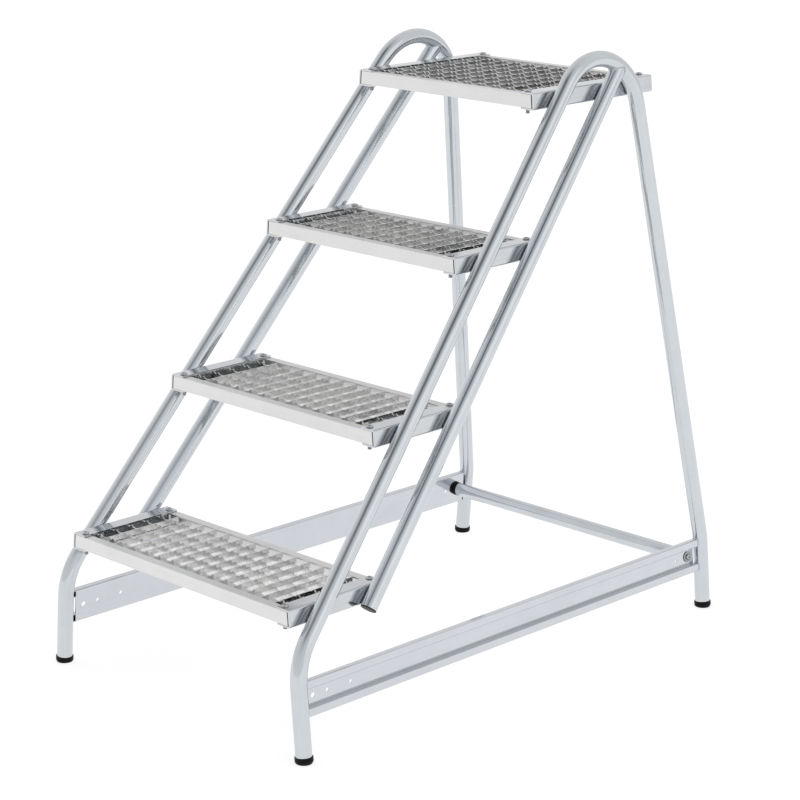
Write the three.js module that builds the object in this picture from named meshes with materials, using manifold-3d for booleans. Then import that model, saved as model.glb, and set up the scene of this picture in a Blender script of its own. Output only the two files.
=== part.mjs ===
// Four-level ladder stand: three grating treads and a grating platform, bolted between two
// bent-tube side frames that lean inward, with a flanged rail low on each side and one rear cross tube.
// Millimetres. X across the treads, +Y in the climbing direction, +Z up. The origin is on the floor,
// midway between the side frames and midway between the front and rear legs.

import * as THREE from 'three';
import { mergeVertices } from 'three/addons/utils/BufferGeometryUtils.js';
import Module from 'manifold-3d';

const wasm = await Module();
wasm.setup();

const degrees = THREE.MathUtils.degToRad;

// ---------------------------------------------------------------- driving dimensions

const CLEARANCE = 0.3; // kept wherever two pieces touch
const SIDES = { right: 1, left: -1 };

// side frames
const BASE_LENGTH = 1020; // front leg centre to rear leg centre
const LEG_HALF_SPREAD = 313; // middle plane to a leg centre, at the floor
const LEAN = degrees(5); // both frames lean inward by this much
const TUBE_RADIUS = 14;
const TUBE_WALL = 1.5;
const STILE_ANGLE = degrees(40.1); // sloping stile, from the frame's upright
const FRONT_BEND_HEIGHT = 167.5; // where the front leg and the stile would meet, unbent
const FRONT_BEND_RADIUS = 120;
const TOP_BEND_HEIGHT = 1183.5; // where the stile and the rear leg would meet, unbent
const TOP_BEND_RADIUS = 104;
const REAR_BEND_HEIGHT = 137;
const REAR_BEND_RADIUS = 120;
const STILE_SPACING = 93.7; // square distance between the sloping stile and the inner stile
const INNER_STILE_START = 215.5; // height of its square-cut lower end

// feet
const FOOT_HEAD_RADIUS = 15.5;
const FOOT_HEAD_HEIGHT = 11;
const FOOT_SOLE_RADIUS = 12.5;
const FOOT_EDGE_HEIGHT = 2.5;
const FOOT_STEM_LENGTH = 22;

// inner stile plugs
const PLUG_HEAD = 1.4;
const PLUG_STEM = 14;

// base rails: a folded sheet with a boxed lip along its top and bottom edges
const RAIL_CENTRE_HEIGHT = 103;
const RAIL_HEIGHT = 61;
const RAIL_LIP_HEIGHT = 14.5;
const RAIL_SHEET = 2;
const RAIL_OUTER = 5.5; // outer face of the lips, outward from the tube centres
const RAIL_INNER = -7.5; // inner face of the web
const RAIL_SEAM = 0.4; // slit between each folded lip and the web
const RAIL_WEB_SETBACK = 16.5; // the web stops this far short of each leg centre
const CROSS_HOLE_OFFSET = 34; // from a leg centre
const CROSS_HOLE_RADIUS = 4.5;
const FIXING_HOLE_OFFSETS = [65.5, 118];
const FIXING_HOLE_RADIUS = 3.3;

// rear cross tube
const CROSS_TUBE_RADIUS = 13;
const COLLAR_RADIUS = 13.3;
const COLLAR_LENGTH = 8;
const COLLAR_STEM = 18;
const CROSS_BOLT_RADIUS = 3;
const CROSS_BOLT_LENGTH = 22;
const CROSS_BOLT_HEAD_RADIUS = 5.2;
const CROSS_BOLT_HEAD_HEIGHT = 3.2;
const CROSS_WASHER_RADIUS = 10;
const CROSS_WASHER_THICKNESS = 1.5;

// treads and platform
const RISE = 250;
const RUN = 211.1;
const FIRST_TREAD_HEIGHT = 247.5;
const FIRST_TREAD_FRONT = 3.4; // behind the front leg centres
const TREAD_DEPTH = 208.5;
const PLATFORM_DEPTH = 314.5;
const CHANNEL_HEIGHT = 30;
const CHANNEL_FLANGE = 30;
const CHANNEL_SHEET = 3;
const EDGE_BAR_WIDTH = 17;
const EDGE_BAR_SHEET = 2.5;
const EDGE_BAR_END_GAP = 2.2; // from its folded end tabs to the channels' webs
const BOLT_INSET = 10.5; // bolt centre from the front or rear end of a channel
const BOLT_REACH = 20.5; // bolt centre from the channel's outer top corner

// gratings
const MESH_PITCH = 34.3;
const BAR_THICKNESS = 2.2;
const CROSS_BAR_DEPTH = 10;
const CROSS_BAR_DROP = 0.25; // pressed in this far below the bearing bars' tops
const FIRST_BEARING_BAR = 28; // behind the tread's front edge
const BEARING_BAR_END_GAP = 2;

// tread bolts
const BOLT_RADIUS = 3.5;
const BOLT_HEAD_RADIUS = 6.3;
const BOLT_HEAD_HEIGHT = 2.8;
const BOLT_TAIL = 8; // reach below the lower flange

// bolt heads
const HEAD_CROWN = 0.7; // flat crown's radius, as a share of the head's
const SOCKET_RADIUS = 0.34; // as a share of the head's radius
const SOCKET_DEPTH = 0.6; // as a share of the head's height

// smoothness of round pieces
const TUBE_SIDES = 12;
const BOLT_SIDES = 8;
const BEND_STEP = degrees(12);

// worked out
const FRONT_LEG = -BASE_LENGTH / 2;
const REAR_LEG = BASE_LENGTH / 2;
const TUBE_BORE = TUBE_RADIUS - TUBE_WALL;
const FLAT_FACTOR = Math.cos(Math.PI / TUBE_SIDES); // a faceted bore is this much narrower across its flats
const INSERT_RADIUS = TUBE_BORE * FLAT_FACTOR - CLEARANCE;
const COLLAR_STEM_RADIUS = (CROSS_TUBE_RADIUS - TUBE_WALL) * FLAT_FACTOR - CLEARANCE;
const LEG_START = FOOT_HEAD_HEIGHT + CLEARANCE;
const RAIL_BOTTOM = RAIL_CENTRE_HEIGHT - RAIL_HEIGHT / 2;
const RAIL_TOP = RAIL_CENTRE_HEIGHT + RAIL_HEIGHT / 2;
const CROSS_TUBE_Y = REAR_LEG - CROSS_HOLE_OFFSET;

const LEVELS = [
  { name: 'tread1', level: 0, crossBars: 14, bearingBars: 5, depth: TREAD_DEPTH },
  { name: 'tread2', level: 1, crossBars: 12, bearingBars: 5, depth: TREAD_DEPTH },
  { name: 'tread3', level: 2, crossBars: 11, bearingBars: 5, depth: TREAD_DEPTH },
  { name: 'platform', level: 3, crossBars: 10, bearingBars: 8, depth: PLATFORM_DEPTH },
];

// ---------------------------------------------------------------- materials

const METALS = {
  tube: { color: 0xd0d4d8, roughness: 0.3, metalness: 0.9 },
  rail: { color: 0xd1d4dc, roughness: 0.35, metalness: 0.9 },
  channel: { color: 0xcdd1d4, roughness: 0.35, metalness: 0.85 },
  edgeBar: { color: 0xdfe0e1, roughness: 0.45, metalness: 0.7 },
  grating: { color: 0xb9bcbb, roughness: 0.5, metalness: 0.8 },
  bolt: { color: 0x8c9092, roughness: 0.35, metalness: 0.95 },
  washer: { color: 0x5d6164, roughness: 0.45, metalness: 0.6 },
};
const PLASTIC = { color: 0x16171a, roughness: 0.6, metalness: 0 };

function addPiece(parent, name, geometry, finish) {
  const mesh = new THREE.Mesh(geometry, new THREE.MeshStandardMaterial(finish));
  mesh.name = name;
  parent.add(mesh);
  return mesh;
}

// ---------------------------------------------------------------- solids, joins and cuts

function toSolid(geometry) {
  const bare = geometry.clone();
  bare.deleteAttribute('normal');
  bare.deleteAttribute('uv');
  const merged = mergeVertices(bare, 1e-4);
  return new wasm.Manifold(new wasm.Mesh({
    numProp: 3,
    vertProperties: new Float32Array(merged.attributes.position.array),
    triVerts: new Uint32Array(merged.index.array),
  }));
}

function toGeometry(solid) {
  const mesh = solid.getMesh();
  const geometry = new THREE.BufferGeometry();
  geometry.setAttribute('position', new THREE.BufferAttribute(mesh.vertProperties, 3));
  geometry.setIndex(new THREE.BufferAttribute(mesh.triVerts, 1));
  geometry.computeVertexNormals();
  return geometry;
}

function cut(geometry, tools) {
  const solid = tools.reduce((rest, tool) => rest.subtract(toSolid(tool)), toSolid(geometry));
  return toGeometry(solid);
}

function join(geometries) {
  const solids = geometries.map(toSolid);
  return toGeometry(solids.reduce((whole, solid) => whole.add(solid)));
}

// A box given by its two opposite corners, snapped to a fine grid so that boxes which should lie
// flush do so exactly in 32-bit numbers.
function boxBetween(lowCorner, highCorner) {
  const snap = (value) => Math.round(value * 32) / 32;
  const low = lowCorner.map(snap);
  const high = highCorner.map(snap);
  const [width, depth, height] = low.map((value, axis) => high[axis] - value);
  const middle = low.map((value, axis) => (value + high[axis]) / 2);
  return new THREE.BoxGeometry(width, depth, height).translate(...middle);
}

// An outline in X and Z, swept along Y.
function sweepAlongY(outline, start, end) {
  const shape = new THREE.Shape(outline.map(([x, z]) => new THREE.Vector2(x, z)));
  const sweep = new THREE.ExtrudeGeometry(shape, { depth: end - start, bevelEnabled: false });
  return sweep.rotateX(Math.PI / 2).translate(0, end, 0);
}

// A turned piece, its axis along Z, from a profile of [radius, height] pairs.
function turned(profile, segments) {
  const points = profile.map(([radius, height]) => new THREE.Vector2(radius, height));
  return new THREE.LatheGeometry(points, segments).rotateX(Math.PI / 2);
}

function rod(radius, bottom, top, segments) {
  return turned([[0, bottom], [radius, bottom], [radius, top], [0, top]], segments);
}

// A bolt with its axis along Z and its head resting at height 0.
function buttonHeadBolt(radius, tip, headRadius, headHeight) {
  const socketFloor = headHeight * (1 - SOCKET_DEPTH);
  return turned([
    [0, tip],
    [radius, tip],
    [radius, 0],
    [headRadius, 0],
    [headRadius, headHeight / 3],
    [headRadius * HEAD_CROWN, headHeight],
    [headRadius * SOCKET_RADIUS, headHeight],
    [headRadius * SOCKET_RADIUS, socketFloor],
    [0, socketFloor],
  ], BOLT_SIDES);
}

// ---------------------------------------------------------------- bent tubes

// A path known only at its sections: one at each end and several round each bend.
class SectionPath extends THREE.Curve {
  constructor(sections) {
    super();
    this.sections = sections;
  }

  sectionAt(u) {
    return this.sections[Math.round(u * (this.sections.length - 1))];
  }

  getPointAt(u) {
    return this.sectionAt(u).point.clone();
  }

  getTangentAt(u) {
    return this.sectionAt(u).tangent.clone();
  }
}

function section(y, z, heading) {
  return {
    point: new THREE.Vector3(0, y, z),
    tangent: new THREE.Vector3(0, Math.sin(heading), Math.cos(heading)),
  };
}

// Sections round one bend. The corner is where the two straights would meet, and headings are
// measured from upright toward +Y.
function bendSections(corner, headingIn, headingOut, radius) {
  const turn = headingOut - headingIn;
  const straightUsed = radius * Math.tan(turn / 2);
  const startY = corner.y - straightUsed * Math.sin(headingIn);
  const startZ = corner.z - straightUsed * Math.cos(headingIn);
  const centreY = startY + radius * Math.cos(headingIn);
  const centreZ = startZ - radius * Math.sin(headingIn);
  const steps = Math.max(2, Math.ceil(turn / BEND_STEP));
  return Array.from({ length: steps + 1 }, (_, step) => {
    const heading = headingIn + (turn * step) / steps;
    return section(centreY - radius * Math.cos(heading), centreZ + radius * Math.sin(heading), heading);
  });
}

// The stile runs up the front leg, along the slope, over the top loop and down the rear leg.
function stileSections() {
  const topY = FRONT_LEG + (TOP_BEND_HEIGHT - FRONT_BEND_HEIGHT) * Math.tan(STILE_ANGLE);
  const rearHeading = Math.PI - Math.atan2(REAR_LEG - topY, TOP_BEND_HEIGHT - REAR_BEND_HEIGHT);
  const frontCorner = { y: FRONT_LEG, z: FRONT_BEND_HEIGHT };
  const topCorner = { y: topY, z: TOP_BEND_HEIGHT };
  const rearCorner = { y: REAR_LEG, z: REAR_BEND_HEIGHT };
  return [
    section(FRONT_LEG, LEG_START, 0),
    ...bendSections(frontCorner, 0, STILE_ANGLE, FRONT_BEND_RADIUS),
    ...bendSections(topCorner, STILE_ANGLE, rearHeading, TOP_BEND_RADIUS),
    ...bendSections(rearCorner, rearHeading, Math.PI, REAR_BEND_RADIUS),
    section(REAR_LEG, LEG_START, Math.PI),
  ];
}

function tubeAlong(sections, radius, bore) {
  const ring = new THREE.Shape().absarc(0, 0, radius, 0, 2 * Math.PI);
  if (bore > 0) {
    ring.holes.push(new THREE.Path().absarc(0, 0, bore, 0, 2 * Math.PI, true));
  }
  return new THREE.ExtrudeGeometry(ring, {
    curveSegments: TUBE_SIDES / 2,
    steps: sections.length - 1,
    extrudePath: new SectionPath(sections),
  });
}

const STILE = stileSections();
const STILE_ENVELOPE = tubeAlong(STILE, TUBE_RADIUS + CLEARANCE, 0);

// The inner stile runs parallel to the sloping one and is notched to sit under the top loop.
function innerStile() {
  const foot = innerStileFoot();
  const length = (TOP_BEND_HEIGHT - INNER_STILE_START) / Math.cos(STILE_ANGLE) - STILE_SPACING;
  const topY = foot.y + length * Math.sin(STILE_ANGLE);
  const topZ = foot.z + length * Math.cos(STILE_ANGLE);
  const sections = [section(foot.y, foot.z, STILE_ANGLE), section(topY, topZ, STILE_ANGLE)];
  const tube = toSolid(tubeAlong(sections, TUBE_RADIUS, TUBE_BORE));
  const parts = tube.subtract(toSolid(STILE_ENVELOPE)).decompose();
  const lowest = parts.reduce((low, part) => (
    part.boundingBox().min[2] < low.boundingBox().min[2] ? part : low));
  return toGeometry(lowest);
}

function innerStileFoot() {
  const stileY = FRONT_LEG + (INNER_STILE_START - FRONT_BEND_HEIGHT) * Math.tan(STILE_ANGLE);
  return { y: stileY + STILE_SPACING / Math.cos(STILE_ANGLE), z: INNER_STILE_START };
}

function innerStilePlug() {
  const plug = turned([
    [0, -PLUG_HEAD - CLEARANCE],
    [TUBE_RADIUS, -PLUG_HEAD - CLEARANCE],
    [TUBE_RADIUS, -CLEARANCE],
    [INSERT_RADIUS, -CLEARANCE],
    [INSERT_RADIUS, PLUG_STEM],
    [0, PLUG_STEM],
  ], TUBE_SIDES);
  const foot = innerStileFoot();
  return plug.rotateX(-STILE_ANGLE).translate(0, foot.y, foot.z);
}

// ---------------------------------------------------------------- feet

// A moulded foot pressed into a leg. Its sole is trimmed level with the floor, whichever way
// the leg leans.
function footCap(side, y) {
  const foot = turned([
    [0, -FOOT_EDGE_HEIGHT],
    [FOOT_SOLE_RADIUS, -FOOT_EDGE_HEIGHT],
    [FOOT_HEAD_RADIUS, FOOT_EDGE_HEIGHT],
    [FOOT_HEAD_RADIUS, FOOT_HEAD_HEIGHT],
    [INSERT_RADIUS, FOOT_HEAD_HEIGHT],
    [INSERT_RADIUS, FOOT_HEAD_HEIGHT + FOOT_STEM_LENGTH],
    [0, FOOT_HEAD_HEIGHT + FOOT_STEM_LENGTH],
  ], TUBE_SIDES);
  const reach = 2 * FOOT_HEAD_RADIUS;
  const ground = boxBetween([-reach, -reach, -reach], [reach, reach, 0]).rotateY(side * LEAN);
  return cut(foot, [ground]).translate(0, y, 0);
}

// ---------------------------------------------------------------- base rails

function railOutline(side) {
  const web = RAIL_INNER + RAIL_SHEET;
  const seam = web + RAIL_SEAM;
  const lip = RAIL_OUTER - RAIL_SHEET;
  const lowerLip = RAIL_BOTTOM + RAIL_LIP_HEIGHT;
  const upperLip = RAIL_TOP - RAIL_LIP_HEIGHT;
  return [
    [seam, lowerLip],
    [RAIL_OUTER, lowerLip],
    [RAIL_OUTER, RAIL_BOTTOM],
    [RAIL_INNER, RAIL_BOTTOM],
    [RAIL_INNER, RAIL_TOP],
    [RAIL_OUTER, RAIL_TOP],
    [RAIL_OUTER, upperLip],
    [seam, upperLip],
    [seam, upperLip + RAIL_SHEET],
    [lip, upperLip + RAIL_SHEET],
    [lip, RAIL_TOP - RAIL_SHEET],
    [web, RAIL_TOP - RAIL_SHEET],
    [web, RAIL_BOTTOM + RAIL_SHEET],
    [lip, RAIL_BOTTOM + RAIL_SHEET],
    [lip, lowerLip - RAIL_SHEET],
    [seam, lowerLip - RAIL_SHEET],
  ].map(([outward, height]) => [side * outward, height]);
}

function webHole(side, radius, y) {
  const middle = side * (RAIL_INNER + RAIL_SHEET / 2);
  return rod(radius, -RAIL_SHEET, RAIL_SHEET, TUBE_SIDES)
    .rotateY(Math.PI / 2)
    .translate(middle, y, RAIL_CENTRE_HEIGHT);
}

function webTrim(side, leg) {
  const inward = leg > 0 ? -1 : 1;
  const ys = [leg, leg + inward * RAIL_WEB_SETBACK].sort((a, b) => a - b);
  const xs = [side * (RAIL_INNER - 1), side * (RAIL_INNER + RAIL_SHEET + 0.1)].sort((a, b) => a - b);
  const low = [xs[0], ys[0], RAIL_BOTTOM + RAIL_SHEET];
  return boxBetween(low, [xs[1], ys[1], RAIL_TOP - RAIL_SHEET]);
}

function baseRail(side) {
  const tools = [STILE_ENVELOPE];
  for (const leg of [FRONT_LEG, REAR_LEG]) {
    const inward = leg > 0 ? -1 : 1;
    tools.push(webTrim(side, leg));
    tools.push(webHole(side, CROSS_HOLE_RADIUS, leg + inward * CROSS_HOLE_OFFSET));
    for (const offset of FIXING_HOLE_OFFSETS) {
      tools.push(webHole(side, FIXING_HOLE_RADIUS, leg + inward * offset));
    }
  }
  return cut(sweepAlongY(railOutline(side), FRONT_LEG, REAR_LEG), tools);
}

// ---------------------------------------------------------------- rear cross tube

// Distance from the middle plane to the web's inner face, at the cross tube's height.
function webInnerX() {
  const lowered = RAIL_CENTRE_HEIGHT * Math.sin(LEAN);
  return LEG_HALF_SPREAD - lowered + RAIL_INNER * Math.cos(LEAN);
}

function crossTubeHeight() {
  return RAIL_CENTRE_HEIGHT * Math.cos(LEAN) + RAIL_INNER * Math.sin(LEAN);
}

const CROSS_TUBE_HALF_LENGTH = webInnerX() - COLLAR_LENGTH;

function crossTube() {
  const ring = new THREE.Shape().absarc(0, 0, CROSS_TUBE_RADIUS, 0, 2 * Math.PI);
  ring.holes.push(new THREE.Path().absarc(0, 0, CROSS_TUBE_RADIUS - TUBE_WALL, 0, 2 * Math.PI, true));
  const tube = new THREE.ExtrudeGeometry(ring, {
    curveSegments: TUBE_SIDES / 2,
    depth: 2 * CROSS_TUBE_HALF_LENGTH,
    bevelEnabled: false,
  });
  return tube
    .translate(0, 0, -CROSS_TUBE_HALF_LENGTH)
    .rotateY(Math.PI / 2)
    .translate(0, CROSS_TUBE_Y, crossTubeHeight());
}

// The collar closes the tube's end: a stem inside the tube and a thick flange whose outer face
// lies flat against the leaning web.
function crossTubeCollar(side) {
  const collar = turned([
    [0, -COLLAR_STEM],
    [COLLAR_STEM_RADIUS, -COLLAR_STEM],
    [COLLAR_STEM_RADIUS, CLEARANCE],
    [COLLAR_RADIUS, CLEARANCE],
    [COLLAR_RADIUS, 2 * COLLAR_LENGTH],
    [0, 2 * COLLAR_LENGTH],
  ], 2 * TUBE_SIDES);
  collar.rotateY((side * Math.PI) / 2).translate(side * CROSS_TUBE_HALF_LENGTH, 0, 0);
  const reach = 3 * COLLAR_RADIUS;
  const beyondWeb = boxBetween([0, -reach, -reach], [reach, reach, reach])
    .translate(-CLEARANCE, 0, 0)
    .scale(side, 1, side)
    .rotateY(-side * LEAN)
    .translate(side * webInnerX(), 0, 0);
  const boltHole = rod(CROSS_BOLT_RADIUS + CLEARANCE, -2 * COLLAR_STEM, COLLAR_STEM, BOLT_SIDES)
    .rotateY((side * Math.PI) / 2 - side * LEAN)
    .translate(side * webInnerX(), 0, 0);
  return cut(collar, [beyondWeb, boltHole]).translate(0, CROSS_TUBE_Y, crossTubeHeight());
}

function crossBolt(side) {
  const washerTop = RAIL_INNER + RAIL_SHEET + CROSS_WASHER_THICKNESS + 2 * CLEARANCE;
  return buttonHeadBolt(CROSS_BOLT_RADIUS, -CROSS_BOLT_LENGTH, CROSS_BOLT_HEAD_RADIUS, CROSS_BOLT_HEAD_HEIGHT)
    .rotateY((side * Math.PI) / 2)
    .translate(side * washerTop, CROSS_TUBE_Y, RAIL_CENTRE_HEIGHT);
}

function crossWasher(side) {
  const bottom = CLEARANCE;
  const top = CLEARANCE + CROSS_WASHER_THICKNESS;
  const bore = CROSS_BOLT_RADIUS + CLEARANCE;
  const washer = turned([
    [bore, bottom],
    [CROSS_WASHER_RADIUS, bottom],
    [CROSS_WASHER_RADIUS, top],
    [bore, top],
    [bore, bottom],
  ], 2 * TUBE_SIDES);
  return washer
    .rotateY((side * Math.PI) / 2)
    .translate(side * (RAIL_INNER + RAIL_SHEET), CROSS_TUBE_Y, RAIL_CENTRE_HEIGHT);
}

// ---------------------------------------------------------------- treads and platform

function levelHeight(level) {
  return FIRST_TREAD_HEIGHT + RISE * level;
}

function levelFront(level) {
  return FRONT_LEG + FIRST_TREAD_FRONT + RUN * level;
}

// Half the tread's width at a height: the channels' webs stand against the leaning tubes.
function outerHalfWidth(z) {
  return LEG_HALF_SPREAD - z * Math.tan(LEAN) - (TUBE_RADIUS + CLEARANCE) / Math.cos(LEAN);
}

function webInnerHalfWidth(z) {
  return outerHalfWidth(z) - CHANNEL_SHEET / Math.cos(LEAN);
}

function channelOutline(top) {
  const bottom = top - CHANNEL_HEIGHT;
  const underTop = top - CHANNEL_SHEET;
  const overBottom = bottom + CHANNEL_SHEET;
  return [
    [outerHalfWidth(top), top],
    [outerHalfWidth(top) - CHANNEL_FLANGE, top],
    [outerHalfWidth(top) - CHANNEL_FLANGE, underTop],
    [webInnerHalfWidth(underTop), underTop],
    [webInnerHalfWidth(overBottom), overBottom],
    [outerHalfWidth(bottom) - CHANNEL_FLANGE, overBottom],
    [outerHalfWidth(bottom) - CHANNEL_FLANGE, bottom],
    [outerHalfWidth(bottom), bottom],
  ];
}

// Where the four bolts of a level stand.
function boltPlaces({ level, depth }) {
  const top = levelHeight(level);
  const front = levelFront(level);
  const x = outerHalfWidth(top) - BOLT_REACH;
  const places = [];
  for (const [sideName, side] of Object.entries(SIDES)) {
    places.push({ name: `front_${sideName}`, side, x: side * x, y: front + BOLT_INSET, z: top });
    places.push({ name: `rear_${sideName}`, side, x: side * x, y: front + depth - BOLT_INSET, z: top });
  }
  return places;
}

function boltHoles(row) {
  return boltPlaces(row).map(({ x, y, z }) => (
    rod(BOLT_RADIUS + CLEARANCE, -2 * CHANNEL_HEIGHT, CHANNEL_HEIGHT, BOLT_SIDES).translate(x, y, z)));
}

function endChannel(row, side) {
  const outline = channelOutline(levelHeight(row.level)).map(([x, z]) => [side * x, z]);
  const front = levelFront(row.level);
  return cut(sweepAlongY(outline, front, front + row.depth), boltHoles(row));
}

// An upright outline across the tread whose ends lean with the channels' webs.
function leaningOutline(top, bottom, endGap) {
  const topReach = webInnerHalfWidth(top) - endGap;
  const bottomReach = webInnerHalfWidth(bottom) - endGap;
  return [[-bottomReach, bottom], [bottomReach, bottom], [topReach, top], [-topReach, top]];
}

// The edge bars are folded angles with a tab at each end, open below and toward the grating.
// They are held between the end channels' flanges.
function edgeBar(row, atFront) {
  const top = levelHeight(row.level) - CHANNEL_SHEET - CLEARANCE;
  const bottom = levelHeight(row.level) - CHANNEL_HEIGHT + CHANNEL_SHEET + CLEARANCE;
  const front = levelFront(row.level);
  const inward = atFront ? 1 : -1;
  const face = atFront ? front : front + row.depth;
  const [near, far] = [face, face + inward * EDGE_BAR_WIDTH].sort((a, b) => a - b);
  const hollow = [face + inward * EDGE_BAR_SHEET, face + inward * (EDGE_BAR_WIDTH + 1)].sort((a, b) => a - b);
  const outline = leaningOutline(top, bottom, EDGE_BAR_END_GAP);
  const inside = leaningOutline(
    top - EDGE_BAR_SHEET,
    bottom - 1,
    EDGE_BAR_END_GAP + EDGE_BAR_SHEET,
  );
  return cut(sweepAlongY(outline, near, far), [sweepAlongY(inside, ...hollow), ...boltHoles(row)]);
}

// Deep bearing bars run across the tread and end inside the channels. Shallow cross bars, pressed
// into them from above, run from edge bar to edge bar.
function grating(row) {
  const top = levelHeight(row.level) - CHANNEL_SHEET - 2 * CLEARANCE;
  const bottom = levelHeight(row.level) - CHANNEL_HEIGHT + CHANNEL_SHEET + CLEARANCE;
  const front = levelFront(row.level);
  const reach = webInnerHalfWidth(top) - BEARING_BAR_END_GAP;
  const half = BAR_THICKNESS / 2;
  const bars = [];
  for (let index = 0; index < row.bearingBars; index += 1) {
    const y = front + FIRST_BEARING_BAR + MESH_PITCH * index;
    bars.push(boxBetween([-reach, y - half, bottom], [reach, y + half, top]));
  }
  const start = front + EDGE_BAR_WIDTH + CLEARANCE;
  const end = front + row.depth - EDGE_BAR_WIDTH - CLEARANCE;
  for (let index = 0; index < row.crossBars; index += 1) {
    const x = (index - (row.crossBars - 1) / 2) * MESH_PITCH;
    const crossTop = top - CROSS_BAR_DROP;
    bars.push(boxBetween([x - half, start, crossTop - CROSS_BAR_DEPTH], [x + half, end, crossTop]));
  }
  return join(bars);
}

// A button-head bolt through both flanges. Its plain tail shows below the lower one.
function treadBolt({ x, y, z }) {
  const tip = -CHANNEL_HEIGHT - BOLT_TAIL - CLEARANCE;
  const bolt = buttonHeadBolt(BOLT_RADIUS, tip, BOLT_HEAD_RADIUS, BOLT_HEAD_HEIGHT);
  return bolt.translate(x, y, z + CLEARANCE);
}

// ---------------------------------------------------------------- assembly

const group = new THREE.Group();

for (const [sideName, side] of Object.entries(SIDES)) {
  const frame = new THREE.Group();
  frame.position.x = side * LEG_HALF_SPREAD;
  frame.rotation.y = -side * LEAN;
  group.add(frame);

  addPiece(frame, `stile_tube_${sideName}`, tubeAlong(STILE, TUBE_RADIUS, TUBE_BORE), METALS.tube);
  addPiece(frame, `inner_stile_${sideName}`, innerStile(), METALS.tube);
  addPiece(frame, `inner_stile_plug_${sideName}`, innerStilePlug(), PLASTIC);
  addPiece(frame, `base_rail_${sideName}`, baseRail(side), METALS.rail);
  addPiece(frame, `foot_front_${sideName}`, footCap(side, FRONT_LEG), PLASTIC);
  addPiece(frame, `foot_rear_${sideName}`, footCap(side, REAR_LEG), PLASTIC);
  addPiece(frame, `cross_bolt_${sideName}`, crossBolt(side), METALS.bolt);
  addPiece(frame, `cross_washer_${sideName}`, crossWasher(side), METALS.washer);
  addPiece(group, `cross_tube_collar_${sideName}`, crossTubeCollar(side), PLASTIC);
}
addPiece(group, 'rear_cross_tube', crossTube(), METALS.tube);

for (const row of LEVELS) {
  for (const [sideName, side] of Object.entries(SIDES)) {
    addPiece(group, `${row.name}_channel_${sideName}`, endChannel(row, side), METALS.channel);
  }
  addPiece(group, `${row.name}_front_bar`, edgeBar(row, true), METALS.edgeBar);
  addPiece(group, `${row.name}_rear_bar`, edgeBar(row, false), METALS.edgeBar);
  addPiece(group, `${row.name}_grating`, grating(row), METALS.grating);
  for (const place of boltPlaces(row)) {
    addPiece(group, `${row.name}_bolt_${place.name}`, treadBolt(place), METALS.bolt);
  }
}

export default group;
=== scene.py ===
import math

import bmesh
import bpy
from mathutils import Matrix, Vector


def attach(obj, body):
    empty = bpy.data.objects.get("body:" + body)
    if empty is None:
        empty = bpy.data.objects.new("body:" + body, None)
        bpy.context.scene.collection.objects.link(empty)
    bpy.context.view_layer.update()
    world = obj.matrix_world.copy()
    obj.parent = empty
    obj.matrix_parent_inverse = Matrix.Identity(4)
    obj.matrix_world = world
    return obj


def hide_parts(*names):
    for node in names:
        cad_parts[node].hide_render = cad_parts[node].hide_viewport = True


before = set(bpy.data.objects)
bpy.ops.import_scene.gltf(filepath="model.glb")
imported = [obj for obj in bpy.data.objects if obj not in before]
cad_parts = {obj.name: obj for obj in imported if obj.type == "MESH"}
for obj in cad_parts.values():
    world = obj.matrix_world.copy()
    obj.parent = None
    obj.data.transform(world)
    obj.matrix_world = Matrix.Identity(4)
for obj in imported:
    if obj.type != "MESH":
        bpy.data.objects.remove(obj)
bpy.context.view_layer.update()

# A four-level ladder stand in bright zinc plate: grating treads and platform, two leaning side
# frames of bent tube, folded base rails, a rear cross tube and black plastic fittings. Weld
# beads, and black strips that paint the shade in the slits at the edge bars' ends, are shown here
# only. Pieces are worked out in millimetres and made in metres.

# ---------------------------------------------------------------- driving dimensions

MM = 0.001
SIDES = {"right": 1, "left": -1}
CLEARANCE = 0.3

# side frames: u outward from the tube centres, y toward the rear, v up the lean
FRONT_LEG = -510
REAR_LEG = 510
LEG_HALF_SPREAD = 313
LEAN = math.radians(5)
COS_LEAN = math.cos(LEAN)
SIN_LEAN = math.sin(LEAN)
TAN_LEAN = math.tan(LEAN)
TUBE_RADIUS = 14
TUBE_WALL = 1.5
STILE_ANGLE = math.radians(40.1)
FRONT_BEND = (FRONT_LEG, 167.5)
TOP_BEND_HEIGHT = 1183.5
REAR_BEND = (REAR_LEG, 137)
LEG_BEND_RADIUS = 120
TOP_BEND_RADIUS = 104
STILE_SPACING = 93.7
INNER_STILE_START = 215.5
TUBE_SIDES = 56
ROUND_SIDES = 48
BEND_STEP = math.radians(2.5)
NOTCH_SEARCH_SPAN = 180
NOTCH_SEARCH_STEPS = 40

# feet and plugs
FOOT_HEIGHT = 11
FOOT_RADIUS = 15.5
SOLE_RADIUS = 12.5
SOLE_TRIM = 2.5
FOOT_STEM = 22
PLUG_HEAD = 1.4
PLUG_STEM = 14
STEM_BORE = TUBE_RADIUS - TUBE_WALL - CLEARANCE

# base rails
RAIL_CENTRE = 103
RAIL_HEIGHT = 61
RAIL_LIP = 14.5
RAIL_SHEET = 2
RAIL_OUTER = 5.5
RAIL_INNER = -7.5
RAIL_SEAM = 0.4
RAIL_BEND = 1.2
RAIL_WEB_SETBACK = 16.5
CROSS_HOLE_OFFSET = 34
CROSS_HOLE_RADIUS = 4.5
FIXING_HOLE_OFFSETS = (65.5, 118)
FIXING_HOLE_RADIUS = 3.3

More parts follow.
